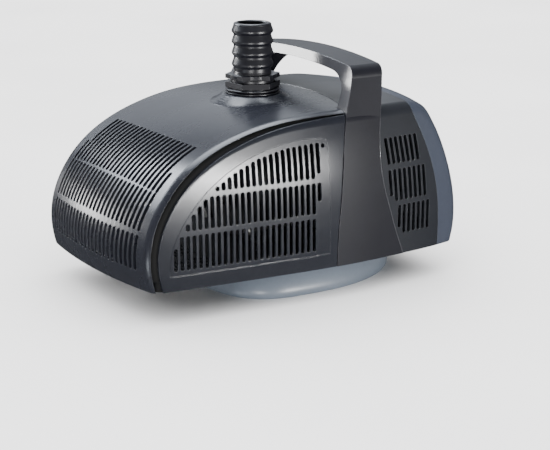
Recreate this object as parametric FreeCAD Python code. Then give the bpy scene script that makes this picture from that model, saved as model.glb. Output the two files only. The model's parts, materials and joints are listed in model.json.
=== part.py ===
"""Submersible fountain pump: slotted cage housing with a carrying handle, motor and pump set inside.

Frame: +X runs from the nose to the rear cap, +Y to the far side, +Z up. The origin is on the ground, under
the outlet's axis. Inside the helpers z is counted from the housing's lower edge; save() lifts each shape.
"""

import FreeCAD, Part
import math
import os

V = FreeCAD.Vector

# ---- driving dimensions, millimetres ----
FOOT_HEIGHT = 26.0        # housing's lower edge above the ground
SKIN = 2.5                # wall of the housing shells
SHOULDER_R = 11.0         # rounding between the top and the sides
EDGE_HALF_WIDTH = 89.0    # half width at which the side profile below is drawn
NOSE_BULGE = 8.0          # extra length of the nose on the centre line
TAIL_BULGE = 11.0         # extra length of the tail on the centre line, which sets in between these two places
TAIL_BULGE_START = 75.0
TAIL_BULGE_FULL = 112.0
CROWN_FRONT = 0.8         # extra height of the top on the centre line, at the outlet and forward
CROWN_REAR = 4.6          # and at the tail
LOFT_HALF_WIDTH = 112.0   # where the outermost profile of the body loft stands
BODY_BELOW = 8.0          # how far the body loft runs below the housing's lower edge
PART_GAP = 0.35           # gap round pieces that come off
TONGUE_GAP = 1.5          # between the bonnet's tongue and the handle's legs, which lean in over it
AXIS_Z = 54.0             # height of the motor shaft
HOSE_CREST_R = 16.9       # hosetail, over the barbs
HOSE_ROOT_R = 15.2
HOSE_BORE_R = 11.9
HEX_R = 22.5              # hexagons, centre to corner
HEX_TURN = 36.7           # angle of a hexagon's corner from +X, degrees
SLOT_PITCH = 5.15         # side grille
SLOT_WIDTH = 3.3
NOSE_PITCH = 6.1          # nose grille
NOSE_SLOT_WIDTH = 3.8
NOSE_SLOTS = 24
SIDE_SLOT_Y = 90.0        # where the side slots' tools are centred
SLOT_REACH = 22.0         # how far a slot's tool reaches to each side of its centre
THREAD_R = 17.8           # threaded end of the riser
BOSS_UNDERSIDE_Z = 117.4
RISER_R = 16.6
RISER_BORE_R = 13.4
SOCKET_R = 17.0           # bore that the riser plugs into
FOOT_X = 26.0             # point that the foot's outline is scaled about
FOOT_WALL = 3.0
RIB = 2.5
TRAY_FLOOR = 3.5
TRAY_RIM = 8.0
CAN_R = 42.0              # motor can
CAN_WALL = 2.5
CAN_FRONT = 24.0
CAN_REAR = 112.0
WELL_R = 19.4             # tube round the rotor
WELL_BORE_R = 17.6
WELL_REAR = 98.0
ROTOR_R = 16.6
SHAFT_R = 3.0
BUSH_CLEARANCE = 0.06
CHAMBER_R = 44.0          # pump chamber
CHAMBER_BORE_R = 40.5
CHAMBER_FRONT = -20.0
IMPELLER_R = 34.0
IMPELLER_VANES = 6
LUG_RADIUS = 47.5         # circle of the long chamber screws
LUG_R = 5.5
GLAND_Z = 30.0
CABLE_R = 3.9             # bore of the cable gland
CABLE_HOLE_R = 5.5        # hole in the rear cap, in line with the gland

# Side view of the housing from the nose's lower edge over the top to the tail's lower edge: (x, z)
BODY_PROFILE = [
    (-138.5, -BODY_BELOW), (-141, 0), (-144.5, 20), (-143, 38), (-137.5, 54.5), (-129, 69), (-117, 83),
    (-100, 96), (-82, 105.2), (-62, 112.2), (-40, 117.4), (-16, 120.4), (10, 121.6), (45, 121.6), (80, 121),
    (101, 119.4), (108.5, 117), (114, 112.6), (118.5, 106), (124.5, 95.5), (131.5, 80.5), (138.5, 61.5),
    (143.3, 42), (145, 25), (143.8, 10), (141, 0), (138.5, -BODY_BELOW),
]
# Plan of one side: (x, half width)
BODY_PLAN = [
    (-160, 86.5), (-137, 89.3), (-97, 93), (-53, 96.5), (-10, 99.6), (20, 100.6), (50, 99.8), (80, 97.4),
    (115, 93.6), (137, 89.2), (160, 84),
]
# How far the sides lean in at each height: (z, inset)
BODY_LEAN = [(-12, 0), (30, 0), (60, 1), (90, 3.8), (112, 7.6), (130, 12)]

# Band that carries the handle, side view, from the lower edge up: (x, z)
BAND_FRONT = [
    (15.5, -6), (16, 0), (16.8, 20), (20, 52), (24.3, 92), (30.5, 121), (36, 135), (40.5, 152), (43, 170),
]
BAND_REAR = [
    (85, -6), (83, 0), (75.5, 19.3), (68, 41.3), (62, 62), (59.5, 84), (61, 105), (64.5, 123), (67.5, 140),
    (71, 170),
]
STRAP_FEET = [(20, 106.4), (85, 100.2)]   # (x, half width) of the strap's outer form low on the band
STRAP_LOW_Z = 104.0       # where the strap's outer form takes over from the band's
# Seam between rear shell and rear cap at the sides: (x, z)
CAP_SEAM = [
    (120.5, -12), (122, 0), (122.6, 15), (122.1, 35.5), (117.9, 60), (110.4, 83), (101.5, 103), (96.6, 114),
    (95.3, 128),
]
CAP_SEAM_BOW = 6.0        # how much further back the seam lies on the centre line
TOP_SEAM_X = 30.5         # seam between bonnet and rear shell at the side
TOP_SEAM_BOW = 20.0       # and how much further back it lies on the centre line
SEAM_HALF_WIDTH = 90.0
# Groove between the bonnet and a side panel; it follows the side profile from the nose to the top seam
GROOVE_INSET = 1.8        # from the profile in to the groove
GROOVE_WIDTH = 5.2        # at the nose
GROOVE_END_WIDTH = 1.0    # at the top seam
GROOVE_TAPER_X = -112.0   # where it starts to narrow
GROOVE_DEPTH = 2.0        # down to the rubber strip in it
STRIP_THICKNESS = 1.6
# Leaf-shaped upper edge of the grille panel in the side panel: (x, z)
LEAF = [
    (-128.5, 11.5), (-128, 22), (-125.5, 33), (-119.5, 46), (-107, 63), (-93, 76), (-75, 87.5), (-54.5, 96.4),
    (-28.5, 102.4), (-1, 104), (9.5, 102.3),
]
# Rows of the side grille: low end, high end, x of the rearmost slot, slots, raised low ends of the rearmost ones
SIDE_ROWS = [
    (73.2, 200, 5.4, 20, (96.5, 77)), (45.2, 69.6, 0.3, 24, (55,)), (15.2, 41.6, -4.85, 24, ()),
]
LEAF_MARGIN = 3.2         # between the slots and the leaf's edge
# Rows behind the band: x of the first slot, slots, low end, high end, lean in degrees
REAR_ROWS = [(67.5, 7, 75, 97, 7.5), (70, 8, 44.5, 71, 4), (79, 7, 17, 41, -1)]
REAR_MARGIN = 5.0         # between the band and the first full slot
REAR_STEP = 2.2           # how fast the slots nearer to the band get shorter
# Rows over the nose: low and high end of the row on the centre line, as (x, z)
NOSE_ROWS = [((-151, 15.5), (-149.5, 43)), ((-148.5, 47), (-136, 76)), ((-133.5, 79.5), (-94, 108))]
# Plan of one side of the foot, fuller towards the nose: (x, half width)
FOOT_PLAN = [
    (-60, 0), (-58, 32), (-50.5, 59), (-34, 75.5), (0, 82), (42, 80), (80, 66), (105, 46), (118, 24),
    (122, 0),
]
LEAF_BOTTOM_Z = 11.5
LEAF_REAR_X = 9.5
PANEL_RECESS = 0.4        # of the grille field in the side panel
PANEL_INNER_Y = 68.0      # the side panels lie outside this half width
BAND_PROUD = 0.5          # how far the band stands out of the sides

WIDE = 130.0              # half length of cutting prisms, beyond the body on every side


# ---- helpers ----
def save(name, shape):
    """Writes one node, lifted to stand on the foot."""
    shape = shape.copy()
    shape.translate(V(0, 0, FOOT_HEIGHT))
    shape.exportStep(os.path.join("parts", name + ".step"))


def spline(points):
    curve = Part.BSplineCurve()
    curve.interpolate(points)
    return curve.toShape()


def polyline(points):
    return [Part.makeLine(a, b) for a, b in zip(points, points[1:])]


def one_solid(shape):
    """The largest solid of a boolean's result."""
    return max(shape.Solids, key=lambda s: s.Volume)


def prism_y(edges, y0, y1):
    """Closed outline at y = 0 pushed out to a solid between y0 and y1."""
    face = Part.Face(Part.Wire(edges))
    face.translate(V(0, y0, 0))
    return face.extrude(V(0, y1 - y0, 0))


def both_sides(edges, inner):
    """Closed side-view outline as two prisms, outside |y| = inner."""
    return [prism_y(edges, -WIDE, -inner), prism_y(edges, inner, WIDE)]


def tube_x(r_out, r_in, x0, x1, y=0.0, z=AXIS_Z):
    solid = Part.makeCylinder(r_out, x1 - x0, V(x0, y, z), V(1, 0, 0))
    if r_in:
        solid = solid.cut(Part.makeCylinder(r_in, x1 - x0 + 2, V(x0 - 1, y, z), V(1, 0, 0)))
    return solid


def tube_z(r_out, r_in, z0, z1, x=0.0, y=0.0):
    solid = Part.makeCylinder(r_out, z1 - z0, V(x, y, z0))
    if r_in:
        solid = solid.cut(Part.makeCylinder(r_in, z1 - z0 + 2, V(x, y, z0 - 1)))
    return solid


def hexagon(z0, z1, r_in):
    corners = []
    for i in range(7):
        a = math.radians(HEX_TURN + 60 * i)
        corners.append(V(HEX_R * math.cos(a), HEX_R * math.sin(a), z0))
    solid = Part.Face(Part.Wire(polyline(corners))).extrude(V(0, 0, z1 - z0))
    return solid.cut(Part.makeCylinder(r_in, z1 - z0 + 2, V(0, 0, z0 - 1)))


def obround(centre, along, normal, length, width, depth):
    """Slot tool with round ends, pushed along normal from its centre plane, to both sides."""
    u = V(along).normalize()
    n = V(normal).normalize()
    w = n.cross(u)
    r = width / 2
    half = max(length / 2 - r, 0.02)
    a = centre + u * half + w * r
    b = centre - u * half + w * r
    c = centre - u * half - w * r
    d = centre + u * half - w * r
    edges = [
        Part.makeLine(a, b), Part.Arc(b, centre - u * (half + r), c).toShape(),
        Part.makeLine(c, d), Part.Arc(d, centre + u * (half + r), a).toShape(),
    ]
    face = Part.Face(Part.Wire(edges))
    face.translate(n * (-depth))
    return face.extrude(n * (2 * depth))


def at_x(points, x):
    """Height of a side-view line of (x, z) points above x."""
    for (x0, z0), (x1, z1) in zip(points, points[1:]):
        if x0 <= x <= x1:
            return z0 + (z1 - z0) * (x - x0) / (x1 - x0)
    return points[-1][1] if x > points[-1][0] else points[0][1]


def at_z(points, z):
    """Position along x of a side-view line of (x, z) points at height z."""
    return at_x(sorted((b, a) for a, b in points), z)


def clamp(value):
    return min(1.0, max(0.0, value))


def smooth_step(value, start, end):
    """0 up to start, 1 from end on, smooth between them."""
    t = clamp((value - start) / (end - start))
    return t * t * (3 - 2 * t)


def side_normals(points):
    """Unit normals of a side-view line, to its right as it is walked."""
    out = []
    last = len(points) - 1
    for i in range(len(points)):
        a = points[max(i - 1, 0)]
        b = points[min(i + 1, last)]
        length = math.hypot(b[0] - a[0], b[1] - a[1])
        out.append(((b[1] - a[1]) / length, -(b[0] - a[0]) / length))
    return out


# ---- the housing's outer form ----
def body_profile(y, inset):
    """Closed side-view profile of the body at one distance from the centre line."""
    bulge = 1 - (y / EDGE_HALF_WIDTH) ** 2
    nose_x = abs(BODY_PROFILE[1][0])
    points = []
    for (x, z), (nx, nz) in zip(BODY_PROFILE, side_normals(BODY_PROFILE)):
        if x < 0:
            reach = (x / nose_x) ** 3 * NOSE_BULGE
        else:
            reach = smooth_step(x, TAIL_BULGE_START, TAIL_BULGE_FULL) * TAIL_BULGE
        tailward = clamp((x - 5) / 95)
        rise = (CROWN_FRONT + (CROWN_REAR - CROWN_FRONT) * tailward) * clamp(z / 80)
        points.append(V(x + reach * bulge + nx * inset, y, z + rise * bulge + nz * inset))
    points[0].z = points[-1].z = -BODY_BELOW
    return Part.Wire([spline(points), Part.makeLine(points[-1], points[0])])


def body_plan(z, lean, inset):
    near = [V(x, -(w - lean - inset), z) for x, w in BODY_PLAN]
    far = [V(x, w - lean - inset, z) for x, w in reversed(BODY_PLAN)]
    ends = [Part.makeLine(near[-1], far[0]), Part.makeLine(far[-1], near[0])]
    return Part.Wire([spline(near), ends[0], spline(far), ends[1]])


def body(inset):
    """The housing's outer form, drawn in by inset, running below the lower edge."""
    stations = [LOFT_HALF_WIDTH * k / 2 for k in (-2, -1, 0, 1, 2)]
    lengthwise = Part.makeLoft([body_profile(y, inset) for y in stations], True, False)
    sides = Part.makeLoft([body_plan(z, lean, inset) for z, lean in BODY_LEAN], True, False)
    solid = one_solid(lengthwise.common(sides))
    shoulders = [e for e in solid.Edges if e.BoundBox.XLength > 150 and e.BoundBox.ZLength > 80]
    return solid.makeFillet(SHOULDER_R - inset, shoulders)


def above_edge(solid):
    return solid.common(Part.makeBox(4 * WIDE, 4 * WIDE, 2 * WIDE, V(-2 * WIDE, -2 * WIDE, 0)))


def seam_tool(line, bow, shift):
    """Everything in front of a bowed seam: line gives x at each height at the side."""
    wires = []
    for y in (-WIDE, -WIDE / 2, 0, WIDE / 2, WIDE):
        offset = bow * (1 - (y / SEAM_HALF_WIDTH) ** 2) + shift
        points = [V(x + offset, y, z) for x, z in line]
        corners = [points[-1], V(-2 * WIDE, y, points[-1].z), V(-2 * WIDE, y, points[0].z), points[0]]
        edge = spline(points) if len(points) > 2 else Part.makeLine(points[0], points[1])
        wires.append(Part.Wire([edge] + polyline(corners)))
    return Part.makeLoft(wires, True, False)


# ---- side-view regions ----
def groove_wall(share):
    """Side-view line along the groove: share 0 is the bonnet's wall, 1 the side panel's."""
    out = []
    for (x, z), (nx, nz) in zip(BODY_PROFILE, side_normals(BODY_PROFILE)):
        if x > TOP_SEAM_X:
            break
        taper = clamp((x - GROOVE_TAPER_X) / (TOP_SEAM_X - GROOVE_TAPER_X))
        depth = GROOVE_INSET + share * (GROOVE_WIDTH + (GROOVE_END_WIDTH - GROOVE_WIDTH) * taper)
        out.append(V(x + nx * depth, 0, z + nz * depth))
    end_depth = GROOVE_INSET + share * GROOVE_END_WIDTH
    out.append(V(TOP_SEAM_X, 0, at_x(BODY_PROFILE, TOP_SEAM_X) - end_depth))
    return out


def panel_outline(share, rear_gap):
    """Region bounded by one wall of the groove, the band and the ground."""
    top = groove_wall(share)
    rear = [V(x - rear_gap, 0, z) for x, z in BAND_FRONT if z < top[-1].z - 1]
    end = V(top[-1].x - rear_gap, 0, top[-1].z)
    rear.append(end)
    top[-1] = end
    return [spline(top), spline(list(reversed(rear))), Part.makeLine(rear[0], top[0])]


def band_outline(gap):
    front = [V(x - gap, 0, z) for x, z in BAND_FRONT]
    rear = [V(x, 0, z) for x, z in BAND_REAR]
    rear[0].z = front[0].z
    return [spline(front), Part.makeLine(front[-1], rear[-1]), spline(list(reversed(rear))),
            Part.makeLine(rear[0], front[0])]


def leaf_outline():
    top = [V(x, 0, z) for x, z in LEAF]
    low_rear = V(LEAF_REAR_X, 0, LEAF_BOTTOM_Z)
    return [spline(top), Part.makeLine(top[-1], low_rear), Part.makeLine(low_rear, top[0])]


# ---- handle ----
def arch(x, foot_y, shoulder, corner, top, crown_z, low_z):
    """Closed arch outline across the pump at x; (y, z) points of one side, mirrored to the other."""
    foot = V(x, -foot_y, low_z)
    a, b, c = [V(x, -p[0], p[1]) for p in (shoulder, corner, top)]
    a2, b2, c2 = [V(x, p[0], p[1]) for p in (shoulder, corner, top)]
    foot2 = V(x, foot_y, low_z)
    edges = [
        Part.makeLine(foot, a), Part.Arc(a, b, c).toShape(), Part.Arc(c, V(x, 0, crown_z), c2).toShape(),
        Part.Arc(c2, b2, a2).toShape(), Part.makeLine(a2, foot2), Part.makeLine(foot2, foot),
    ]
    return Part.Wire(edges)


def handle_opening(gap):
    """The space under the handle; its walls thicken towards the rear edge of the strap."""
    front = arch(20, 83.5 - gap, (77.8 - gap, 141), (75.4, 146.8), (69.5 - gap, 149.2), 152.8, 60)
    rear = arch(80, 73.5 - gap, (69 - gap, 121), (51, 140.5), (29 - gap, 149), 151.0, 60)
    return Part.makeLoft([front, rear], True, True)


def handle_outer():
    """Outer form of the strap; its legs run down flush into the band."""
    outlines = [arch(x, foot_y, (85, 145.5), (82.4, 152), (75.5, 155), 160, 60) for x, foot_y in STRAP_FEET]
    return Part.makeLoft(outlines, True, True)


def band_zone(front_gap, side_gap):
    """Where the band and the handle's legs are, less the space between the legs."""
    return prism_y(band_outline(front_gap), -WIDE, WIDE).cut(handle_opening(side_gap))


def handle_band(outer, inner):
    zone = band_zone(0, 0)
    strap = zone.common(handle_outer()).cut(inner)
    strips = zone.common(outer).cut(inner)
    upper = Part.makeBox(4 * WIDE, 4 * WIDE, WIDE, V(-2 * WIDE, -2 * WIDE, STRAP_LOW_Z))
    return strap.common(upper).fuse(strips).removeSplitter()


# ---- grilles ----
def side_grille(side):
    """Three rows of upright slots; the leaf's edge cuts the front ones short, and the rearmost start higher up."""
    tools = []
    for low, high, first_x, count, raised in SIDE_ROWS:
        for k in range(count):
            x = first_x - SLOT_PITCH * k
            start = raised[k] if k < len(raised) else low
            length = min(high, at_x(LEAF, x - SLOT_WIDTH / 4) - LEAF_MARGIN) - start
            if length < SLOT_WIDTH * 0.6:
                continue
            length = max(length, SLOT_WIDTH)
            centre = V(x, side * SIDE_SLOT_Y, start + length / 2)
            tools.append(obround(centre, V(0, 0, 1), V(0, side, 0), length, SLOT_WIDTH, SLOT_REACH))
    return tools


def rear_grille(side):
    """Three rows behind the band; the slots lean with the tail."""
    tools = []
    for first, count, low, high, lean in REAR_ROWS:
        slope = math.tan(math.radians(lean))
        for k in range(count):
            x = first + SLOT_PITCH * k
            low_k = max(low, low + (at_z(BAND_REAR, low) + REAR_MARGIN - x) * REAR_STEP)
            if high - low_k < SLOT_WIDTH:
                continue
            middle = (low_k + high) / 2
            x_mid = x - (middle - (low + high) / 2) * slope
            centre = V(x_mid, side * SIDE_SLOT_Y, middle)
            along = V(-slope, 0, 1)
            tools.append(obround(centre, along, V(0, side, 0), high - low_k, SLOT_WIDTH, SLOT_REACH))
    return tools


def nose_grille():
    tools = []
    for number, (low, high) in enumerate(NOSE_ROWS):
        a = V(low[0], 0, low[1])
        b = V(high[0], 0, high[1])
        along = b - a
        normal = V(-along.z, 0, along.x)
        for k in range(NOSE_SLOTS):
            y = (k - (NOSE_SLOTS - 1) / 2) * NOSE_PITCH
            start = a
            end = b
            if number == 2 and k in (0, NOSE_SLOTS - 1):
                end = a + along * 0.4
            centre = (start + end) * 0.5
            centre.y = y
            tools.append(obround(centre, along, normal, (end - start).Length, NOSE_SLOT_WIDTH, SLOT_REACH))
    return tools


# ---- housing shells ----
def make_bonnet(outer, inner):
    """Everything in front of the top seam, outside the groove, with the boss for the outlet."""
    seam = [(TOP_SEAM_X, -20), (TOP_SEAM_X, 140)]
    bonnet = outer.common(seam_tool(seam, TOP_SEAM_BOW, -PART_GAP))
    bonnet = bonnet.cut(both_sides(panel_outline(0, 0), PANEL_INNER_Y))
    bonnet = one_solid(bonnet.cut([inner, band_zone(PART_GAP, TONGUE_GAP)]))
    boss_profile = Part.Wire(polyline([
        V(10, 0, BOSS_UNDERSIDE_Z), V(29, 0, BOSS_UNDERSIDE_Z), V(30, 0, 122.0), V(27.6, 0, 122.6),
        V(25.6, 0, 123.7), V(23.4, 0, 126), V(10, 0, 126), V(10, 0, BOSS_UNDERSIDE_Z),
    ]))
    boss = Part.Face(boss_profile).revolve(V(0, 0, 0), V(0, 0, 1), 360)
    bore = Part.makeCylinder(THREAD_R + 0.3, 60, V(0, 0, 100))
    return one_solid(bonnet.fuse(boss).cut([bore] + nose_grille()))


def make_gaskets():
    """Rubber strip in the bottom of each groove, from above the tray up to the band."""
    layer = body(GROOVE_DEPTH).cut(body(GROOVE_DEPTH + STRIP_THICKNESS))
    layer = layer.common(Part.makeBox(4 * WIDE, 4 * WIDE, WIDE, V(-2 * WIDE, -2 * WIDE, TRAY_RIM + 1)))
    strips = []
    zones = both_sides(panel_outline(0, PART_GAP), PANEL_INNER_Y)
    islands = both_sides(panel_outline(1, PART_GAP), PANEL_INNER_Y)
    for zone, island in zip(zones, islands):
        strips.append(one_solid(layer.common(zone).cut([island, band_zone(PART_GAP, PART_GAP)])))
    return Part.makeCompound(strips)


def make_side_panel(outer, inner, recessed, side):
    """Side panel with its grille field set in a leaf-shaped recess."""
    index = 0 if side < 0 else 1
    region = both_sides(panel_outline(1, PART_GAP), PANEL_INNER_Y)[index]
    leaf = both_sides(leaf_outline(), PANEL_INNER_Y)[index]
    frame_part = outer.common(region).cut([inner, leaf])
    field = recessed.common(region.common(leaf)).cut(inner)
    return one_solid(frame_part.fuse(field).cut(side_grille(side) + [band_zone(PART_GAP, PART_GAP)]))


def make_shells(parts):
    outer = above_edge(body(0))
    inner = body(SKIN)
    parts["front_bonnet"] = make_bonnet(outer, inner)
    parts["panel_gaskets"] = make_gaskets()
    recessed = above_edge(body(PANEL_RECESS))
    parts["near_side_grille"] = make_side_panel(outer, inner, recessed, -1)
    parts["far_side_grille"] = make_side_panel(outer, inner, recessed, 1)
    parts["handle_band"] = one_solid(handle_band(above_edge(body(-BAND_PROUD)), inner))

    front_of_top_seam = seam_tool([(TOP_SEAM_X, -20), (TOP_SEAM_X, 140)], TOP_SEAM_BOW, 0)
    rear = outer.cut([front_of_top_seam] + both_sides(band_front_outline(), 60))
    rear = rear.common(seam_tool(CAP_SEAM, CAP_SEAM_BOW, 0)).cut([inner, band_zone(0, 0)])
    parts["rear_shell"] = one_solid(rear.cut(rear_grille(-1) + rear_grille(1)))

    cable_hole = tube_x(CABLE_HOLE_R, 0, 120, 180, 0, GLAND_Z)
    cap = outer.cut([seam_tool(CAP_SEAM, CAP_SEAM_BOW, PART_GAP), inner, cable_hole])
    parts["rear_cap"] = one_solid(cap)


def band_front_outline():
    """Region in front of the band, side view."""
    front = [V(x, 0, z) for x, z in BAND_FRONT]
    corners = [front[-1], V(-2 * WIDE, 0, front[-1].z), V(-2 * WIDE, 0, front[0].z), front[0]]
    return [spline(front)] + polyline(corners)


# ---- foot and tray ----
def foot_section(scale, inset, z):
    """Outline of the foot at one height, drawn in by inset."""
    factor = scale - inset / max(w for _, w in FOOT_PLAN)
    far = [(x, w) for x, w in FOOT_PLAN]
    near = [(x, -w) for x, w in reversed(FOOT_PLAN[1:-1])]
    points = [V(FOOT_X + (x - FOOT_X) * factor, y * factor, z) for x, y in far + near]
    curve = Part.BSplineCurve()
    curve.interpolate(Points=points, PeriodicFlag=True)
    return Part.Wire([curve.toShape()])


def foot_dome(inset, top):
    stations = [(0.985, 0.0), (1.0, 0.12), (0.985, 0.38), (0.935, 0.65), (0.86, 0.86), (0.77, 1.0)]
    wires = []
    for scale, level in stations:
        wires.append(foot_section(scale, inset, -FOOT_HEIGHT + level * (FOOT_HEIGHT - top)))
    return Part.makeLoft(wires, True, False)


def screw_places():
    return [(FOOT_X + sx * 45, sy * 36) for sx in (-1, 1) for sy in (-1, 1)]


def make_foot(parts):
    dome = foot_dome(0, 0)
    hollow = foot_dome(FOOT_WALL, FOOT_WALL)
    posts = [Part.makeCylinder(6.5, 14.5, V(x, y, -14)) for x, y in screw_places()]
    lengthwise_rib = Part.makeBox(130, RIB, 12, V(FOOT_X - 65, -RIB / 2, -12))
    crosswise_rib = Part.makeBox(RIB, 120, 12, V(FOOT_X - RIB / 2, -60, -12))
    foot = dome.cut(hollow).fuse([p.common(dome) for p in posts + [lengthwise_rib, crosswise_rib]])
    foot = foot.cut([Part.makeCylinder(2.2, 30, V(x, y, -20)) for x, y in screw_places()])
    parts["foot"] = one_solid(foot)
    plate = Part.Face(foot_section(0.985, FOOT_WALL + 0.4, -FOOT_HEIGHT)).extrude(V(0, 0, 2.5))
    parts["foot_plate"] = plate
    screws = []
    for x, y in screw_places():
        head = Part.makeCylinder(4, 3, V(x, y, -17))
        screws.append(head.fuse(Part.makeCylinder(2, 17, V(x, y, -14))).removeSplitter())
    parts["foot_screws"] = Part.makeCompound(screws)


def make_tray(parts):
    form = body(SKIN + PART_GAP)
    footprint = Part.Face(form.slice(V(0, 0, 1), 0.02))
    hollow = Part.Face(body(SKIN + PART_GAP + 2).slice(V(0, 0, 1), 0.02))
    footprint.translate(V(0, 0, -footprint.BoundBox.ZMin))
    hollow.translate(V(0, 0, TRAY_FLOOR - hollow.BoundBox.ZMin))
    tray = footprint.extrude(V(0, 0, TRAY_RIM)).cut(hollow.extrude(V(0, 0, TRAY_RIM)))
    inlets = []
    for k in range(14):
        for y in (-48, 0, 48):
            inlets.append(obround(V(-125 + k * 4.6, y, 2), V(0, 1, 0), V(0, 0, 1), 38, 2.4, 6))
    holes = [Part.makeCylinder(2.05, 30, V(x, y, -10)) for x, y in screw_places()]
    holes += [Part.makeCylinder(2.0, 30, V(x, y, -10)) for x, y in cradle_places()]
    parts["base_tray"] = one_solid(tray.cut(inlets + holes))


# ---- motor ----
def cradle_places():
    return [(x, y) for x in (58, 86) for y in (-24, 24)]


def lug_places():
    out = []
    for a in (45, 135, 225, 315):
        out.append((LUG_RADIUS * math.cos(math.radians(a)), AXIS_Z + LUG_RADIUS * math.sin(math.radians(a))))
    return out


def lugs(x0, x1):
    """Screw lugs half sunk in the rim of a round part."""
    out = []
    for y, z in lug_places():
        out.append(tube_x(LUG_R, 0, x0, x1, y, z))
    return out


def lug_holes(radius):
    return [tube_x(radius, 0, -60, 60, y, z) for y, z in lug_places()]


def make_motor(parts):
    can = tube_x(CAN_R, 0, CAN_FRONT, CAN_REAR).fuse([tube_x(47, 0, CAN_FRONT, 28)] + lugs(CAN_FRONT, 28))
    can = can.cut([tube_x(CAN_R - CAN_WALL, 0, CAN_FRONT - 1, CAN_REAR - 3.5)] + lug_holes(2.2))
    ribs = []
    for k in range(16):
        a = math.radians(22.5 * k + 11.25)
        rib = Part.makeBox(CAN_REAR - 38, 2, 3, V(34, -1, CAN_R - 0.6))
        rib.rotate(V(0, 0, 0), V(1, 0, 0), math.degrees(a))
        rib.translate(V(0, 0, AXIS_Z))
        if math.cos(a) > -0.6:
            ribs.append(rib)
    can = can.fuse(ribs).cut(tube_x(5, 0, 100, 120, 0, GLAND_Z))
    parts["motor_can"] = one_solid(can)

    well = tube_x(WELL_R, WELL_BORE_R, 28, WELL_REAR).fuse([
        tube_x(WELL_R, 0, WELL_REAR, WELL_REAR + 2.5), tube_x(CAN_R - CAN_WALL - 0.1, WELL_BORE_R, 25.5, 28)])
    parts["rotor_well"] = one_solid(well.removeSplitter())
    parts["motor_seal"] = tube_x(39.3, 36, CAN_FRONT, 25.5)
    parts["front_bearing_plate"] = tube_x(WELL_BORE_R - 0.1, 6.0, 24.2, 28.2)
    parts["front_bush"] = tube_x(6.0, SHAFT_R + BUSH_CLEARANCE, 24.0, 29.0)
    parts["rear_bush"] = tube_x(WELL_BORE_R - 0.1, SHAFT_R + BUSH_CLEARANCE, 92.0, WELL_REAR - 0.05)

    core_front = 42.0
    core_rear = 84.0
    window = 10.0
    core = tube_x(CAN_R - CAN_WALL - 0.1, WELL_R + 0.1, core_front, core_rear)
    windows = []
    for y in (-34, 21.5):
        windows.append(Part.makeBox(80, 12.5, 2 * window, V(30, y, AXIS_Z - window)))
    core = core.cut(windows)
    parts["stator_core"] = one_solid(core)
    coils = []
    for side in (-1, 1):
        legs = []
        for y in (-33.5, 22):
            z0 = AXIS_Z + (0.8 if side > 0 else -9.5)
            legs.append(Part.makeBox(core_rear - core_front, 11.5, 8.7, V(core_front, y, z0)))
        half = Part.makeBox(200, 200, 100, V(-50, -100, AXIS_Z + 0.8 if side > 0 else AXIS_Z - 100.8))
        turns = [tube_x(33.5, 22, core_front - 9, core_front).common(half)]
        turns.append(tube_x(33.5, 22, core_rear, core_rear + 9).common(half))
        coils.append(one_solid(legs[0].fuse([legs[1]] + turns)))
    parts["stator_coils"] = Part.makeCompound(coils)
    resin = tube_x(CAN_R - CAN_WALL - 0.1, 0, 28.1, CAN_REAR - 3.6)
    resin = resin.cut([tube_x(WELL_R + 0.1, 0, 20, WELL_REAR + 2.6), parts["stator_core"]] + coils)
    parts["potting_resin"] = one_solid(resin)

    gland = tube_x(10, 0, CAN_REAR, CAN_REAR + 3.5, 0, GLAND_Z).fuse([
        tube_x(7.5, 0, CAN_REAR + 3.5, CAN_REAR + 14, 0, GLAND_Z),
        tube_x(4.95, 0, CAN_REAR - 3.4, CAN_REAR, 0, GLAND_Z),
        Part.makeCone(7.5, 5.2, 5, V(CAN_REAR + 14, 0, GLAND_Z), V(1, 0, 0))])
    parts["cable_gland"] = one_solid(gland.cut(tube_x(CABLE_R, 0, 90, 140, 0, GLAND_Z)))


def make_rotor(parts):
    parts["rotor_magnet"] = tube_x(ROTOR_R, SHAFT_R, 32, 88)
    parts["rotor_shaft"] = tube_x(SHAFT_R, 0, -10, 95)
    washers = [tube_x(7, SHAFT_R, x, x + 1.5) for x in (29.2, 89.9)]
    parts["thrust_washers"] = Part.makeCompound(washers)
    hub = tube_x(8, 0, -12, 21).fuse(tube_x(IMPELLER_R, 0, 14, 16.5))
    hub = hub.fuse(Part.makeCone(3.5, 8, 5, V(-17, 0, AXIS_Z), V(1, 0, 0)))
    vanes = []
    for k in range(IMPELLER_VANES):
        inner_arc = Part.Arc(V(0, 7, 0), V(0, 20, 4.5), V(0, IMPELLER_R - 0.3, 15)).toShape()
        outer_arc = Part.Arc(V(0, IMPELLER_R - 1.6, 17), V(0, 19, 6.7), V(0, 7, 2.2)).toShape()
        edges = [inner_arc, Part.makeLine(V(0, IMPELLER_R - 0.3, 15), V(0, IMPELLER_R - 1.6, 17)), outer_arc,
                 Part.makeLine(V(0, 7, 2.2), V(0, 7, 0))]
        vane = Part.Face(Part.Wire(edges)).extrude(V(26, 0, 0))
        vane.rotate(V(0, 0, 0), V(1, 0, 0), 360 / IMPELLER_VANES * k)
        vane.translate(V(-12, 0, AXIS_Z))
        vanes.append(vane)
    impeller = hub.fuse(vanes).common(tube_x(IMPELLER_R, 0, -20, 30))
    parts["impeller"] = one_solid(impeller.cut(tube_x(SHAFT_R, 0, -10, 30)))


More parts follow.
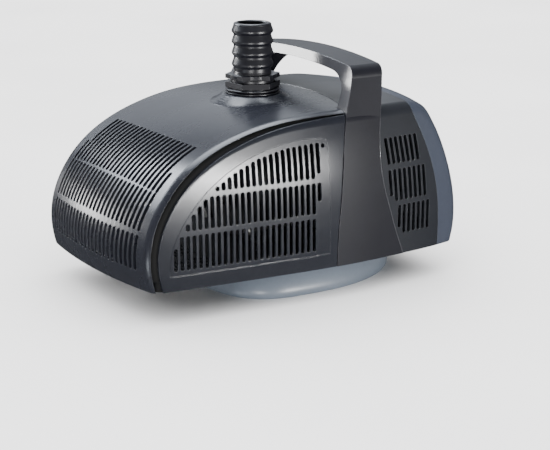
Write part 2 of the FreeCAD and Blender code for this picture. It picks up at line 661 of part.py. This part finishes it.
# ---- pump chamber and outlet ----
def make_chamber(parts):
    back = 19.5
    ring = tube_x(CHAMBER_R, 0, CHAMBER_FRONT, CAN_FRONT)
    socket_top = 113.8
    neck = tube_z(SOCKET_R + 2.8, 0, AXIS_Z + 30, socket_top)
    chamber = ring.fuse([neck] + lugs(CHAMBER_FRONT, CHAMBER_FRONT + 6) + lugs(CAN_FRONT - 6, CAN_FRONT))
    cavity = tube_x(CHAMBER_BORE_R, 0, CHAMBER_FRONT - 1, back)
    rebate = tube_x(43.2, 41.2, CHAMBER_FRONT - 1, CHAMBER_FRONT + 1)
    chamber = chamber.cut([
        cavity, tube_x(9, 0, back - 1, 30), tube_z(RISER_BORE_R, 0, AXIS_Z, 130),
        tube_z(SOCKET_R, 0, 100, 130), rebate] + lug_holes(2.2))
    parts["volute_chamber"] = one_solid(chamber)
    parts["chamber_seal"] = tube_x(43.2, 41.2, CHAMBER_FRONT, CHAMBER_FRONT + 1)
    cover = tube_x(CHAMBER_R, 0, CHAMBER_FRONT - 4, CHAMBER_FRONT).fuse(
        [tube_x(18, 0, CHAMBER_FRONT - 16, CHAMBER_FRONT)] + lugs(CHAMBER_FRONT - 4, CHAMBER_FRONT))
    parts["volute_cover"] = one_solid(cover.cut([tube_x(15, 0, -60, 0)] + lug_holes(2.2)))
    screws = []
    for y, z in lug_places():
        shank = tube_x(2, 0, CHAMBER_FRONT - 4, 31, y, z)
        screws.append(one_solid(shank.fuse(tube_x(4, 0, CHAMBER_FRONT - 7.5, CHAMBER_FRONT - 4, y, z))))
    parts["chamber_screws"] = Part.makeCompound(screws)

    cradle = Part.makeBox(64, 60, 3, V(40, -30, 7.5))
    saddles = [Part.makeBox(8, 60, 24, V(x, -30, 10)) for x in (44, 92)]
    cradle = cradle.fuse(saddles).cut([tube_x(CAN_R + 0.05, 0, 30, 120)] + [
        Part.makeCylinder(2.2, 40, V(x, y, 0)) for x, y in cradle_places()])
    relief = []
    for k in range(16):
        a = 22.5 * k + 11.25
        if math.cos(math.radians(a)) <= -0.6:
            continue
        box = Part.makeBox(90, 3, 4, V(30, -1.5, CAN_R - 0.6))
        box.rotate(V(0, 0, 0), V(1, 0, 0), a)
        box.translate(V(0, 0, AXIS_Z))
        relief.append(box)
    parts["motor_cradle"] = one_solid(cradle.cut(relief))
    mounts = [tube_z(6, 2.3, TRAY_FLOOR, 7.5, x, y) for x, y in cradle_places()]
    parts["rubber_mounts"] = Part.makeCompound(mounts)
    screws = []
    for x, y in cradle_places():
        head = tube_z(4, 0, 10.5, 13, x, y)
        screws.append(one_solid(head.fuse(tube_z(1.95, 0, 0.5, 10.5, x, y))))
    parts["cradle_screws"] = Part.makeCompound(screws)
    rest = Part.makeBox(18, 44, 14, V(-9, -22, TRAY_FLOOR))
    parts["chamber_rest"] = one_solid(rest.cut(tube_x(CHAMBER_R, 0, -30, 30)))


def make_outlet(parts):
    riser = tube_z(RISER_R, 0, 101, BOSS_UNDERSIDE_Z).fuse([
        tube_z(26, 0, BOSS_UNDERSIDE_Z - 3, BOSS_UNDERSIDE_Z), tube_z(THREAD_R, 0, BOSS_UNDERSIDE_Z, 137.6)])
    for z in (126.2, 128.6):
        profile = polyline([
            V(10, 0, z), V(21.4, 0, z), V(22.2, 0, z + 0.5), V(22.2, 0, z + 1.1), V(21.4, 0, z + 1.6),
            V(10, 0, z + 1.6), V(10, 0, z),
        ])
        riser = riser.fuse(Part.Face(Part.Wire(profile)).revolve(V(0, 0, 0), V(0, 0, 1), 360))
    seal_z = 105.5
    groove = tube_z(30, 14.45, seal_z - 1.4, seal_z + 1.4)
    riser = riser.cut([tube_z(RISER_BORE_R, 0, 90, 150), groove])
    parts["outlet_riser"] = one_solid(riser)
    parts["riser_seal"] = Part.makeTorus(15.7, 1.24, V(0, 0, seal_z))
    parts["outlet_gasket"] = tube_z(17.5, 13.7, 137.6, 138.3)
    parts["union_nut"] = hexagon(131.0, 135.4, THREAD_R + 0.3)

    top = 183.2
    profile = [
        (HOSE_BORE_R, 122.5), (13.1, 122.5), (13.1, 139), (20, 139), (20, 141.5), (HOSE_ROOT_R + 0.6, 141.5),
        (HOSE_ROOT_R, 144),
    ]
    for crest in (149.9, 159.2, 168.4, 176.9):
        profile += [(HOSE_ROOT_R, crest - 3.2), (HOSE_CREST_R, crest - 1), (HOSE_CREST_R, crest + 0.4),
                    (HOSE_ROOT_R + 0.2, crest + 4.6)]
    profile += [(15.5, top - 1.2), (15.0, top - 0.4), (14.2, top), (12.6, top), (HOSE_BORE_R, top - 0.8),
                (HOSE_BORE_R, 122.5)]
    outline = Part.Wire(polyline([V(r, 0, z) for r, z in profile]))
    tail = Part.Face(outline).revolve(V(0, 0, 0), V(0, 0, 1), 360)
    parts["hosetail"] = one_solid(tail.fuse(hexagon(138.4, 141.8, 13.0)).removeSplitter())


def main():
    os.makedirs("parts", exist_ok=True)
    parts = {}
    make_shells(parts)
    make_foot(parts)
    make_tray(parts)
    make_motor(parts)
    make_rotor(parts)
    make_chamber(parts)
    make_outlet(parts)
    for name, shape in parts.items():
        save(name, shape)
        print(name, shape.isValid(), len(shape.Solids), round(shape.Volume))


main()
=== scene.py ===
import json
import math

import bmesh
import bpy
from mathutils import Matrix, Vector


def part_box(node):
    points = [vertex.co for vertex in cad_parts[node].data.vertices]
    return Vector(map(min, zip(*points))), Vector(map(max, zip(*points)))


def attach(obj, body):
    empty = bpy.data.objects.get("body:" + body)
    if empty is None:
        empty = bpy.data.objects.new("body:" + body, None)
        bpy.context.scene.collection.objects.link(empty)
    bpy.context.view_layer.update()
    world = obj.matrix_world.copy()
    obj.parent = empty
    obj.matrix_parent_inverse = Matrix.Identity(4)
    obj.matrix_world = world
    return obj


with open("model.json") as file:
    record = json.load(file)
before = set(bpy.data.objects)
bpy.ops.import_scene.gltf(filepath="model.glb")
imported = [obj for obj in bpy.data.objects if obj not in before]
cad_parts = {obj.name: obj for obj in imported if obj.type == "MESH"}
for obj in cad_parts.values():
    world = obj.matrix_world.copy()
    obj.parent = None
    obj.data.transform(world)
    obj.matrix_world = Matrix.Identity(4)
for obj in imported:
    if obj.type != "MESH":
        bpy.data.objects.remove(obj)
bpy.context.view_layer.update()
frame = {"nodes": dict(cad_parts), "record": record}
NODES = frame["nodes"]
MM = 0.001


# ---- camera, floor and lights ----
CAMERA_AT = Vector((-0.67919, -1.10437, 0.38871))
CAMERA_AZIMUTH = math.radians(-32.4)
CAMERA_ELEVATION = math.radians(15.08)
CAMERA_LENS = 105.19
SENSOR_WIDTH = 36.0
FLOOR_HALF = 40.0
SUN_HEIGHT = 2.0
SUN_ENERGY = 11.0
SUN_SPREAD = math.radians(130)
WORLD_COLOUR = (0.97, 0.98, 1.0)
WORLD_STRENGTH = 0.24
WORLD_LOW_SHARE = 0.10    # of that strength, from below the horizon on the rear cap's side
WORLD_NOSE_SHARE = 0.55   # and on the nose's side
HORIZON = (-0.12, 0.06)   # upward part of the direction over which the full strength fades in
NOSE_TO_REAR = (-0.2, 0.35)   # lengthways part over which one share turns into the other
NEUTRAL = (1, 1, 1)
SKY = (0.86, 0.92, 1.0)   # cool tint
# name, place, what it faces, width and height, energy, colour
LIGHTS = (
    ("panel_glow", (0.52, -1.72, 0.06), (-0.05, -0.09, 0.08), (0.55, 0.10), 34, NEUTRAL),
    ("corner_glow", (-1.2, -1.45, 0.10), (-0.12, -0.05, 0.08), (0.5, 0.16), 18, NEUTRAL),
    ("corner_low", (-1.69, -0.27, -0.45), (-0.14, -0.05, 0.04), (0.4, 0.3), 6, SKY),
    ("nose_sky", (-0.75, 1.2, 1.0), (-0.12, 0, 0.10), (0.9, 0.5), 28, SKY),
    ("rim_glow", (-0.93, 1.42, 0.30), (0.03, 0, 0.16), (0.45, 0.35), 14, NEUTRAL),
    ("top", (0.55, 1.45, 0.75), (0, 0, 0.08), (1.4, 0.5), 2.5, SKY),
    ("crown_glow", (-0.50, 1.32, 1.15), (-0.08, 0, 0.13), (0.45, 0.35), 6, SKY),
    ("overhead", (0.1, 0.7, 2.3), (0, 0, 0), (1.8, 1.8), 140, SKY),
)


def look_from(obj, target):
    """Turns a camera or light so that it faces the target."""
    obj.rotation_euler = (target - obj.location).to_track_quat("-Z", "Y").to_euler()


def add_camera():
    data = bpy.data.cameras.new("camera")
    data.lens = CAMERA_LENS
    data.sensor_width = SENSOR_WIDTH
    camera = bpy.data.objects.new("camera", data)
    camera.location = CAMERA_AT
    bpy.context.scene.collection.objects.link(camera)
    flat = math.cos(CAMERA_ELEVATION)
    back = Vector((
        math.sin(CAMERA_AZIMUTH) * flat,
        -math.cos(CAMERA_AZIMUTH) * flat,
        math.sin(CAMERA_ELEVATION)))
    look_from(camera, CAMERA_AT - back)
    bpy.context.scene.camera = camera


def add_area_light(name, place, target, size, energy, colour):
    data = bpy.data.lights.new(name, "AREA")
    data.shape = "RECTANGLE"
    data.size, data.size_y = size
    data.energy = energy
    data.color = colour
    light = bpy.data.objects.new(name, data)
    light.location = place
    light.visible_camera = False
    bpy.context.scene.collection.objects.link(light)
    look_from(light, Vector(target))
    return light


def add_floor_sun():
    """Broad light from straight above that keeps the floor evenly pale."""
    data = bpy.data.lights.new("floor_sun", "SUN")
    data.energy = SUN_ENERGY
    data.angle = SUN_SPREAD
    sun = bpy.data.objects.new("floor_sun", data)
    sun.location = (0, 0, SUN_HEIGHT)
    bpy.context.scene.collection.objects.link(sun)
    return sun


def limit_light(light, floor, state):
    """INCLUDE: the light falls on the floor only. EXCLUDE: on everything but the floor."""
    receivers = bpy.data.collections.new(light.name + "_receivers")
    receivers.objects.link(floor)
    receivers.collection_objects[0].light_linking.link_state = state
    light.light_linking.receiver_collection = receivers


def add_world():
    """Soft even light from above the horizon, and a share of it from below that grows towards the nose."""
    world = bpy.data.worlds.new("studio")
    world.use_nodes = True
    tree = world.node_tree
    background = tree.nodes["Background"]
    background.inputs["Color"].default_value = (*WORLD_COLOUR, 1)
    split = tree.nodes.new("ShaderNodeSeparateXYZ")
    tree.links.new(tree.nodes.new("ShaderNodeTexCoord").outputs["Generated"], split.inputs["Vector"])
    below = tree.nodes.new("ShaderNodeMapRange")
    ramp = tree.nodes.new("ShaderNodeMapRange")
    low = WORLD_STRENGTH * WORLD_LOW_SHARE
    low_at_nose = WORLD_STRENGTH * WORLD_NOSE_SHARE
    for node, settings in (
            (below, (*NOSE_TO_REAR, low_at_nose, low)),
            (ramp, (*HORIZON, 0.0, WORLD_STRENGTH))):
        for socket, value in zip(("From Min", "From Max", "To Min", "To Max"), settings):
            node.inputs[socket].default_value = value
    tree.links.new(split.outputs["X"], below.inputs["Value"])
    tree.links.new(below.outputs["Result"], ramp.inputs["To Min"])
    tree.links.new(split.outputs["Z"], ramp.inputs["Value"])
    tree.links.new(ramp.outputs["Result"], background.inputs["Strength"])
    bpy.context.scene.world = world


# ---- material building blocks ----
BEVEL_SAMPLES = 4
CORNER_START = 0.96       # cosine between the softened and the true normal at which the pale corners (rubbing and painted highlight) begin
CORNER_SPAN = 0.35        # how far below that they are fully pale
NOISE_RANGE = (0.3, 0.7)  # most of a noise's values lie in here
GRAIN_DEPTH = 0.06 * MM
FLOW_SWING = 0.025        # change of roughness along the flow marks
PLASTIC_IOR = 1.49
RUBBED_AND_HIGHLIGHT = (0.42, 0.43, 0.46, 1)   # pale corners of dark plastic: rubbed by handling, and a painted highlight along the edges
RUBBED_SHINE = 0.06       # how much smoother they are
RUBBED_REACH = 1.6        # their width over the corner's radius


class Recipe:
    """A node material under construction: shader, helpers to add nodes, and the object's own coordinates."""

    def __init__(self, name):
        self.material = bpy.data.materials.new(name)
        self.material.use_nodes = True
        self.tree = self.material.node_tree
        self.shader = self.tree.nodes["Principled BSDF"]
        self.coords = self.add("ShaderNodeTexCoord").outputs["Object"]

    def add(self, kind, **settings):
        node = self.tree.nodes.new(kind)
        for key, value in settings.items():
            setattr(node, key, value)
        return node

    def join(self, source, socket):
        self.tree.links.new(source, socket)

    def put(self, value, socket):
        """Links the socket to another one, or sets it to a plain value."""
        if isinstance(value, bpy.types.NodeSocket):
            self.join(value, socket)
        else:
            socket.default_value = value

    def feed(self, node, **values):
        """Puts values into a node's sockets by name; underscores stand for spaces."""
        for key, value in values.items():
            self.put(value, node.inputs[key.replace("_", " ")])
        return node

    def noise(self, scale, detail=2.0, roughness=0.5, stretch=None):
        where = self.coords
        if stretch:
            mapping = self.feed(self.add("ShaderNodeMapping"), Vector=self.coords, Scale=stretch)
            where = mapping.outputs["Vector"]
        node = self.add("ShaderNodeTexNoise")
        self.feed(node, Vector=where, Scale=scale, Detail=detail, Roughness=roughness)
        return node.outputs["Fac"]

    def span(self, value, low, high, to_low=0.0, to_high=1.0):
        node = self.add("ShaderNodeMapRange")
        self.feed(node, Value=value, From_Min=low, From_Max=high, To_Min=to_low, To_Max=to_high)
        return node.outputs["Result"]

    def math(self, operation, a, b):
        node = self.add("ShaderNodeMath", operation=operation)
        for socket, value in zip(node.inputs, (a, b)):
            self.put(value, socket)
        return node.outputs["Value"]

    def mix(self, factor, a, b):
        node = self.add("ShaderNodeMix", data_type="RGBA")
        for index, value in ((0, factor), (6, a), (7, b)):
            self.put(value, node.inputs[index])
        return node.outputs[2]

    def soft_corners(self, radius):
        return self.feed(self.add("ShaderNodeBevel", samples=BEVEL_SAMPLES), Radius=radius).outputs["Normal"]

    def edge_mask(self, radius):
        """Near 1 along the corners of the piece, 0 on its faces."""
        rounded = self.soft_corners(radius)
        true = self.add("ShaderNodeNewGeometry").outputs["Normal"]
        dot = self.add("ShaderNodeVectorMath", operation="DOT_PRODUCT")
        self.join(rounded, dot.inputs[0])
        self.join(true, dot.inputs[1])
        return self.span(dot.outputs["Value"], CORNER_START, CORNER_START - CORNER_SPAN)

    def bump(self, height, strength, distance, normal=None):
        node = self.feed(self.add("ShaderNodeBump"), Height=height, Strength=strength, Distance=distance)
        if normal is not None:
            self.join(normal, node.inputs["Normal"])
        return node.outputs["Normal"]


def tone(colour, factor):
    return (*[min(1.0, c * factor) for c in colour], 1)


def moulded(name, colour, roughness, grain=0.12, corner=0.5, wear_and_highlight=0.12, gloss=0.5):
    """Injection-moulded plastic: fine grain, flow marks, corners (radius in mm) paled by rubbing and by a
    painted highlight along the edges.
    """
    r = Recipe(name)
    broad = r.noise(7.0, 3.0)
    mottle = r.noise(260.0, 3.0)
    fine = r.noise(2600.0, 2.0)
    flow = r.noise(30.0, 4.0, 0.6, stretch=(0.35, 1.0, 1.0))
    base = r.mix(r.span(broad, *NOISE_RANGE), tone(colour, 0.86), tone(colour, 1.14))
    base = r.mix(r.span(mottle, 0.35, 0.75, 0.0, 0.35), base, tone(colour, 1.3))
    edge = r.edge_mask(corner * MM * RUBBED_REACH)
    rubbed_and_highlit = r.math("MULTIPLY", edge, r.span(r.noise(90.0, 3.0), 0.35, 0.65, 0.25, 1.0))
    # paler corners: rubbing by handling, and partly a painted highlight standing in for light catching the
    # edges
    base = r.mix(r.math("MULTIPLY", rubbed_and_highlit, wear_and_highlight), base, RUBBED_AND_HIGHLIGHT)
    rough = r.span(flow, *NOISE_RANGE, roughness - FLOW_SWING, roughness + FLOW_SWING)
    rough = r.math("SUBTRACT", rough, r.math("MULTIPLY", rubbed_and_highlit, RUBBED_SHINE))
    height = r.math("ADD", r.math("MULTIPLY", fine, 0.7), r.math("MULTIPLY", mottle, 0.05))
    normal = r.bump(height, grain, GRAIN_DEPTH, r.soft_corners(corner * MM))
    r.feed(r.shader, Base_Color=base, Roughness=rough, Normal=normal)
    r.shader.inputs["IOR"].default_value = PLASTIC_IOR
    r.shader.inputs["Specular IOR Level"].default_value = gloss
    return r.material


def rubber(name, colour):
    """Dull moulded rubber with a dusty bloom."""
    r = Recipe(name)
    bloom = r.noise(45.0, 5.0, 0.65)
    fine = r.noise(1800.0, 2.0)
    base = r.mix(r.span(bloom, 0.4, 0.75, 0.0, 0.5), tone(colour, 1.0), tone(colour, 2.2))
    r.feed(r.shader, Base_Color=base, Roughness=r.span(bloom, *NOISE_RANGE, 0.68, 0.86))
    r.feed(r.shader, Normal=r.bump(fine, 0.2, 0.05 * MM))
    r.shader.inputs["Specular IOR Level"].default_value = 0.2
    return r.material


def brushed(name, colour, roughness, stretch):
    """Metal with fine parallel brushing and a little tarnish."""
    r = Recipe(name)
    streaks = r.noise(900.0, 4.0, 0.7, stretch=stretch)
    tarnish = r.noise(60.0, 4.0)
    base = r.mix(r.span(tarnish, 0.35, 0.7), tone(colour, 0.78), tone(colour, 1.1))
    rough = r.span(streaks, *NOISE_RANGE, roughness - 0.08, roughness + 0.1)
    r.feed(r.shader, Base_Color=base, Roughness=rough)
    r.feed(r.shader, Normal=r.bump(streaks, 0.15, 0.04 * MM))
    r.shader.inputs["Metallic"].default_value = 1.0
    return r.material


def ceramic(name):
    r = Recipe(name)
    cloud = r.noise(120.0, 3.0)
    rings = r.noise(1400.0, 2.0, 0.5, stretch=(1.0, 0.05, 0.05))
    base = r.mix(cloud, (0.72, 0.71, 0.66, 1), (0.88, 0.87, 0.83, 1))
    r.feed(r.shader, Base_Color=base, Roughness=r.span(rings, *NOISE_RANGE, 0.14, 0.26))
    r.feed(r.shader, Normal=r.bump(rings, 0.08, 0.03 * MM))
    return r.material


def winding(name):
    """Enamelled copper: warm lacquer over metal."""
    r = Recipe(name)
    patches = r.noise(300.0, 3.0)
    base = r.mix(patches, (0.42, 0.16, 0.06, 1), (0.70, 0.32, 0.13, 1))
    r.feed(r.shader, Base_Color=base, Roughness=r.span(patches, *NOISE_RANGE, 0.22, 0.38))
    r.feed(r.shader, Normal=r.bump(r.noise(2000.0, 2.0), 0.1, 0.03 * MM), Coat_Weight=0.5)
    r.shader.inputs["Metallic"].default_value = 0.85
    return r.material


def pale_floor(name):
    r = Recipe(name)
    cloud = r.noise(3.0, 4.0)
    base = r.mix(cloud, (0.80, 0.80, 0.81, 1), (0.86, 0.86, 0.86, 1))
    r.feed(r.shader, Base_Color=base, Roughness=r.span(cloud, *NOISE_RANGE, 0.45, 0.6))
    return r.material


def make_materials():
    """One material for each slot of the record."""
    return {
        "bonnet": moulded("bonnet_plastic", (0.012, 0.013, 0.018), 0.27, gloss=0.40),
        "side_panel": moulded("side_panel_plastic", (0.009, 0.010, 0.014), 0.22, corner=1.0, gloss=0.36),
        # the band's and rear shell's stronger corner paling paints the highlight lines along their edges
        "band": moulded("band_plastic", (0.008, 0.008, 0.011), 0.40, gloss=0.24, wear_and_highlight=0.3),
        "rear_shell": moulded("rear_shell_plastic", (0.011, 0.012, 0.015), 0.36, gloss=0.30, wear_and_highlight=0.2),
        "rear_cap": moulded("rear_cap_plastic", (0.029, 0.034, 0.048), 0.38, gloss=0.36),
        "foot": moulded("foot_plastic", (0.105, 0.123, 0.148), 0.36),
        "tray": moulded("tray_plastic", (0.004, 0.004, 0.005), 0.6, gloss=0.2),
        "fitting": moulded("fitting_plastic", (0.006, 0.006, 0.009), 0.34, grain=0.05, corner=0.25),
        # near black partly as painted shade inside the slots
        "inner_plastic": moulded("inner_plastic", (0.005, 0.005, 0.006), 0.5, gloss=0.25),
        "resin": moulded("potting_resin", (0.010, 0.010, 0.010), 0.3),
        # black rubber, kept near black partly as painted shade in the groove between the bonnet and the side
        # panels
        "rubber": rubber("black_rubber", (0.004, 0.004, 0.004)),
        "steel": brushed("screw_steel", (0.36, 0.36, 0.35), 0.45, (1, 1, 0.1)),
        "laminations": brushed("core_steel", (0.34, 0.35, 0.37), 0.42, (6, 0.2, 0.2)),
        "copper": winding("copper_winding"),
        "ceramic": ceramic("shaft_ceramic"),
        "magnet": moulded("ferrite_magnet", (0.035, 0.034, 0.033), 0.55, grain=0.3),
    }


def dress(obj, material):
    obj.data.materials.clear()
    obj.data.materials.append(material)


# ---- pieces that the CAD model leaves plain ----
JOIN_DISTANCE = 0.002 * MM
SHOULDER_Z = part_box("near_side_grille")[1][2]
SQUARE_ON = 0.8           # a face looks along an axis when its normal has this much of it
SEAM_UP = 0.7             # the same for the rear shell's top and for its front edge
SEAM_FORWARD = 0.6
RIM_PROUD = 0.30 * MM
RIM_START = 1.5 * MM      # above the side panels
BEAD_R = 0.26 * MM
BEAD_ROUNDNESS = 2
FEWEST_POINTS = 3
FLARE_TOP_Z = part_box("front_bonnet")[1][2]
FLARE_TOP_R = 24.6 * MM
FLARE_PROBES = (32 * MM, 42 * MM)   # radii at which the bonnet's height is read
ABOVE_ALL = 0.4           # height from which it is read
FLARE_SPREAD = 2.0        # width for each unit of height
FLARE_BEND = 1.3
FLARE_STEPS = 12
FLARE_SIDES = 96
FLARE_LIP = 0.1 * MM      # how far its inner edge lies below the top
FLARE_ROOT = 1.2 * MM     # how far it reaches inwards
FLARE_SINK = 0.03 * MM    # how far its thin edge lies below the bonnet's surface
FLARE_BURIED = 0.8 * MM
FLARE_UNDERCUT = 0.9      # share of its width that the buried side takes
GROMMET_SIDES = 48
# (radius, offset from the rear cap's wall) in mm
GROMMET = (
    (0.5, -1.7), (3.5, -1.7), (4.3, -1.0), (5.4, -1.0), (5.4, -3.2),
    (7.6, -3.3), (7.6, -4.6), (4.6, -4.9), (3.5, -2.4), (0.5, -2.4),
)


def new_piece(name, mesh, body, material):
    piece = bpy.data.objects.new(name, mesh)
    bpy.context.scene.collection.objects.link(piece)
    dress(piece, material)
    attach(piece, body)


def shape_of(node):
    """Copy of a node's mesh to read from, with its split corners joined."""
    bm = bmesh.new()
    bm.from_mesh(NODES[node].data)
    bmesh.ops.remove_doubles(bm, verts=bm.verts, dist=JOIN_DISTANCE)
    bm.normal_update()
    return bm


def finished(bm, name):
    mesh = bpy.data.meshes.new(name)
    bmesh.ops.recalc_face_normals(bm, faces=bm.faces)
    bm.to_mesh(mesh)
    bm.free()
    return mesh


def skinned(rings, name):
    """Closed smooth surface through rings of points that follow one another round a loop."""
    bm = bmesh.new()
    rows = [[bm.verts.new(place) for place in ring] for ring in rings]
    for row, following in zip(rows, rows[1:] + rows[:1]):
        for i in range(len(row)):
            j = (i + 1) % len(row)
            bm.faces.new((row[i], row[j], following[j], following[i]))
    for face in bm.faces:
        face.smooth = True
    return finished(bm, name)


def handle_rim(material):
    """Glossy facing on the front edge of the strap, lighter than the band as a painted highlight."""
    bm = shape_of("handle_band")
    start_z = SHOULDER_Z + RIM_START
    back = {f for f in bm.faces if f.normal.x < -SQUARE_ON and f.calc_center_median().z > start_z}
    bmesh.ops.delete(bm, geom=[f for f in bm.faces if f not in back], context="FACES")
    grown = bmesh.ops.extrude_face_region(bm, geom=list(bm.faces), use_keep_orig=True)["geom"]
    facing = {g for g in grown if isinstance(g, bmesh.types.BMFace)}
    moved = [g for g in grown if isinstance(g, bmesh.types.BMVert)]
    bmesh.ops.translate(bm, vec=(-RIM_PROUD, 0, 0), verts=moved)
    for face in facing:
        face.smooth = True
    for edge in bm.edges:
        edge.smooth = len({f in back or f in facing for f in edge.link_faces}) == 1
    new_piece("handle_rim", finished(bm, "handle_rim"), "housing", material)


def chains(edges):
    """Joins edges end to end and gives each run's points in order."""
    links = {}
    for edge in edges:
        for a, b in (edge.verts, reversed(edge.verts)):
            links.setdefault(a, []).append(b)
    runs = []
    unused = set(links)
    starts = [v for v in links if len(links[v]) == 1] + list(links)
    for start in starts:
        if start not in unused:
            continue
        run = [start]
        unused.discard(start)
        while True:
            following = [v for v in links[run[-1]] if v in unused]
            if not following:
                break
            run.append(following[0])
            unused.discard(following[0])
        runs.append([v.co.copy() for v in run])
    return runs


def bead(name, edges, material):
    """Fine round bead along a run of edges."""
    curve = bpy.data.curves.new(name, "CURVE")
    curve.dimensions = "3D"
    curve.bevel_depth = BEAD_R
    curve.bevel_resolution = BEAD_ROUNDNESS
    curve.use_fill_caps = True
    for run in chains(edges):
        if len(run) < FEWEST_POINTS:
            continue
        spline = curve.splines.new("POLY")
        spline.points.add(len(run) - 1)
        for point, place in zip(spline.points, run):
            point.co = (*place, 1)
    guide = bpy.data.objects.new(name + "_guide", curve)
    mesh = bpy.data.meshes.new_from_object(guide)
    bpy.data.objects.remove(guide)
    mesh.name = name
    for polygon in mesh.polygons:
        polygon.use_smooth = True
    new_piece(name, mesh, "housing", material)


def edges_between(bm, one, other):
    """Edges whose two faces pass one test each."""
    found = []
    for edge in bm.edges:
        if len(edge.link_faces) == 2:
            a, b = edge.link_faces
            if (one(a) and other(b)) or (one(b) and other(a)):
                found.append(edge)
    return found


def band_beads(material):
    """Glossy lines along the band's rear edges and along the rear shell's front edge over the top, lighter
    than the plastic round them as a painted highlight.
    """
    bm = shape_of("handle_band")
    rear = edges_between(bm, lambda f: abs(f.normal.y) > SQUARE_ON, lambda f: f.normal.x > SQUARE_ON)
    low = [e for e in rear if max(v.co.z for v in e.verts) < SHOULDER_Z]
    bead("band_rear_bead", low, material)
    bm.free()
    bm = shape_of("rear_shell")
    seam = edges_between(bm, lambda f: f.normal.z > SEAM_UP, lambda f: f.normal.x < -SEAM_FORWARD)
    bead("top_seam_bead", seam, material)
    bm.free()


def cable_grommet(material):
    """Rubber grommet with a thin membrane in the rear cap's cable hole."""
    inlet = next(m for m in frame["record"]["mounts"] if m["name"] == "cable_inlet")
    wall_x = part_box("rear_cap")[1][0]
    centre = Vector((wall_x, inlet["pos_m"][1], inlet["pos_m"][2]))
    to_rear = Vector((0, 0, 1)).rotation_difference(Vector((1, 0, 0))).to_matrix()
    rings = []
    for k in range(GROMMET_SIDES):
        angle = 2 * math.pi * k / GROMMET_SIDES
        rings.append([
            centre + to_rear @ (Vector((radius * math.cos(angle), radius * math.sin(angle), offset)) * MM)
            for radius, offset in GROMMET])
    new_piece("cable_grommet", skinned(rings, "cable_grommet"), "rear_cap", material)


def boss_flare(material):
    """Concave skirt that runs from the foot of the outlet out into the curved top."""
    bonnet = NODES["front_bonnet"]
    down = Vector((0, 0, -1))
    inner = FLARE_TOP_R - FLARE_ROOT

    def at(way, radius, z):
        return way * radius + Vector((0, 0, z))

    rings = []
    for k in range(FLARE_SIDES):
        angle = 2 * math.pi * k / FLARE_SIDES
        way = Vector((math.cos(angle), math.sin(angle), 0))
        near, far = [bonnet.ray_cast(at(way, r, ABOVE_ALL), down)[1].z for r in FLARE_PROBES]
        slope = (far - near) / (FLARE_PROBES[1] - FLARE_PROBES[0])
        height = FLARE_TOP_Z - (near + slope * (FLARE_TOP_R - FLARE_PROBES[0]))
        reach = height * FLARE_SPREAD
        ring = [at(way, inner, FLARE_TOP_Z - FLARE_LIP)]
        for i in range(FLARE_STEPS + 1):
            t = i / FLARE_STEPS
            radius = FLARE_TOP_R + reach * t
            ground = near + slope * (radius - FLARE_PROBES[0]) - FLARE_SINK
            ring.append(at(way, radius, ground + height * (1 - t) ** FLARE_BEND))
        ring.append(at(way, FLARE_TOP_R + reach * FLARE_UNDERCUT, ground - FLARE_BURIED))
        ring.append(at(way, inner, ground - FLARE_BURIED))
        rings.append(ring)
    new_piece("boss_flare", skinned(rings, "boss_flare"), "cover", material)


# ---- the scene ----
def add_stage():
    mesh = bpy.data.meshes.new("floor")
    half = FLOOR_HALF
    corners = [(-half, -half, 0), (half, -half, 0), (half, half, 0), (-half, half, 0)]
    mesh.from_pydata(corners, [], [(0, 1, 2, 3)])
    floor = bpy.data.objects.new("floor", mesh)
    bpy.context.scene.collection.objects.link(floor)
    dress(floor, pale_floor("pale_floor"))
    floor.visible_glossy = False
    floor.visible_shadow = False
    return floor


def main():
    add_camera()
    add_world()
    floor = add_stage()
    for light in LIGHTS:
        limit_light(add_area_light(*light), floor, "EXCLUDE")
    limit_light(add_floor_sun(), floor, "INCLUDE")
    materials = make_materials()
    for part in frame["record"]["subparts"]:
        dress(NODES[part["node"]], materials[part["material_slot"]])
    # lighter colour: painted highlight on the strap's front face and along the edge lines
    painted_highlight_plastic = moulded("painted_highlight_edge", (0.05, 0.05, 0.055), 0.16, grain=0.03, gloss=0.6)
    handle_rim(painted_highlight_plastic)
    band_beads(painted_highlight_plastic)
    cable_grommet(materials["rubber"])
    boss_flare(materials["bonnet"])


main()
